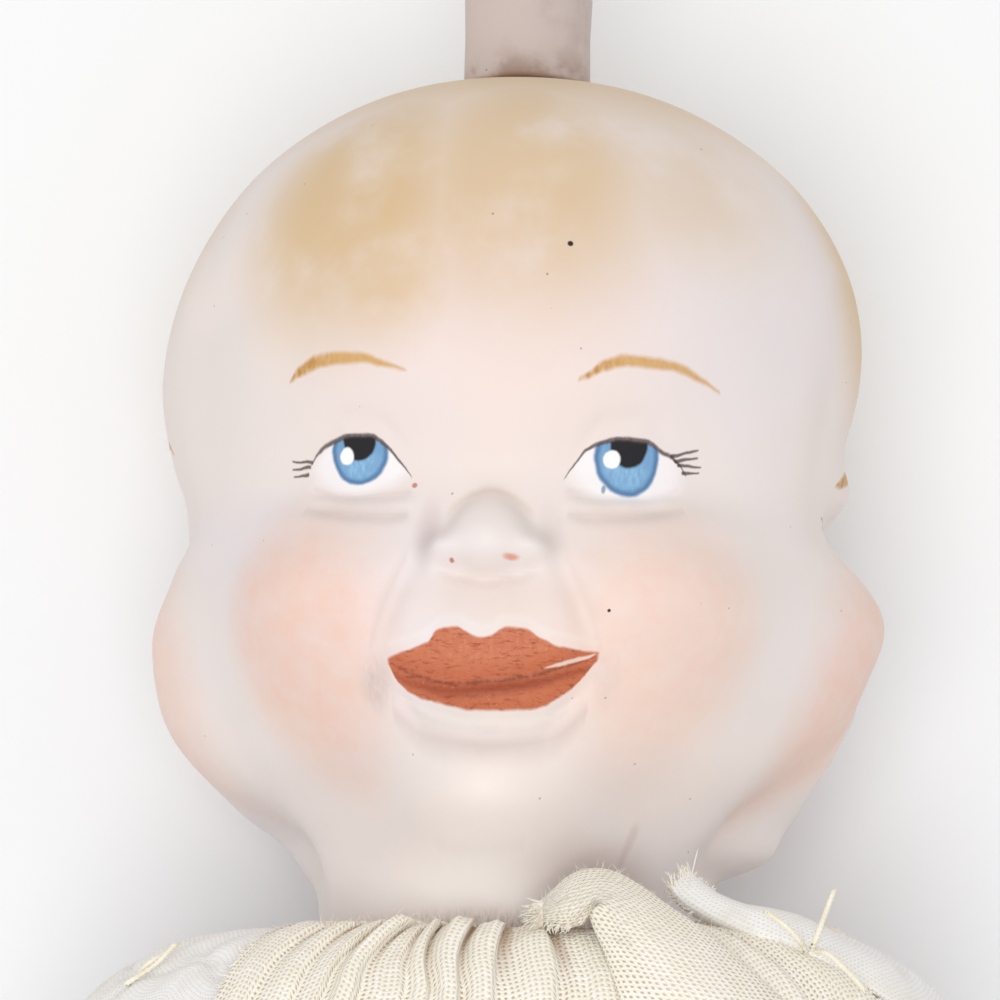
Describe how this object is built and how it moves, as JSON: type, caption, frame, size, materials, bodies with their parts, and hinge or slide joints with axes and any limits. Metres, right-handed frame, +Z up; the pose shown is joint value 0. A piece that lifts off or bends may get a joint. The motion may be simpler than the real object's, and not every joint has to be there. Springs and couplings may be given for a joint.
{
  "type": "baby rattle",
  "caption": "Antique doll-head baby rattle: a turning three-faced bisque head with a crown knob on a stuffed cotton body with a gauze bib and a turned wooden handle.",
  "frame": {"origin": "centre of the flat patch under the stuffed body, which rests on the ground with the doll on its back", "axes": "+Y along the spindle towards the crown, +Z up, the way the awake face looks, +X to the right of the picture"},
  "size_m": [0.0922, 0.2861, 0.0634],
  "materials": {
    "bisque": "matte",
    "post": "matte",
    "cork": "matte",
    "turned_wood": "satin",
    "dowel": "matte",
    "leather": "matte",
    "felt": "matte",
    "card": "matte",
    "cotton": "matte",
    "wadding": "matte",
    "gauze": "matte",
    "thread": "matte",
    "brass": "polished",
    "pea": "matte"
  },
  "bodies": {
    "handle": {"spindle": "dowel", "retaining_pin": "dowel", "retaining_washer": "leather", "neck_washer": "felt", "neck_cup": "turned_wood", "drum_wall": "card", "drum_top": "turned_wood", "drum_bottom": "turned_wood", "body_cover": "cotton", "wadding": "wadding", "gauze_bib": "gauze", "neck_thread": "thread", "hem_thread": "thread", "left_shoulder_stitch": "thread", "right_shoulder_stitch": "thread", "handle_collar": "turned_wood", "handle_grip": "turned_wood", "tack_1": "brass", "tack_2": "brass", "tack_3": "brass", "tack_4": "brass", "tack_5": "brass", "tack_6": "brass"},
    "head": {"head_shell": "bisque", "crown_post": "post", "post_cork": "cork", "neck_plug": "turned_wood"},
    "dried_pea_1": {"dried_pea_1": "pea"},
    "dried_pea_2": {"dried_pea_2": "pea"},
    "dried_pea_3": {"dried_pea_3": "pea"},
    "dried_pea_4": {"dried_pea_4": "pea"},
    "dried_pea_5": {"dried_pea_5": "pea"}
  },
  "joints": [
    {"name": "head_turn", "type": "hinge", "parent": "handle", "child": "head", "pos_m": [0, 0.093, 0.03], "axis": [0, 1, 0], "continuous": true},
    {"name": "dried_pea_1_roll", "type": "hinge", "parent": "handle", "child": "dried_pea_1", "pos_m": [0, 0, 0.03], "axis": [0, 1, 0], "continuous": true},
    {"name": "dried_pea_2_roll", "type": "hinge", "parent": "handle", "child": "dried_pea_2", "pos_m": [0, 0, 0.03], "axis": [0, 1, 0], "continuous": true},
    {"name": "dried_pea_3_roll", "type": "hinge", "parent": "handle", "child": "dried_pea_3", "pos_m": [0, 0, 0.03], "axis": [0, 1, 0], "continuous": true},
    {"name": "dried_pea_4_roll", "type": "hinge", "parent": "handle", "child": "dried_pea_4", "pos_m": [0, 0, 0.03], "axis": [0, 1, 0], "continuous": true},
    {"name": "dried_pea_5_roll", "type": "hinge", "parent": "handle", "child": "dried_pea_5", "pos_m": [0, 0, 0.03], "axis": [0, 1, 0], "continuous": true}
  ]
}
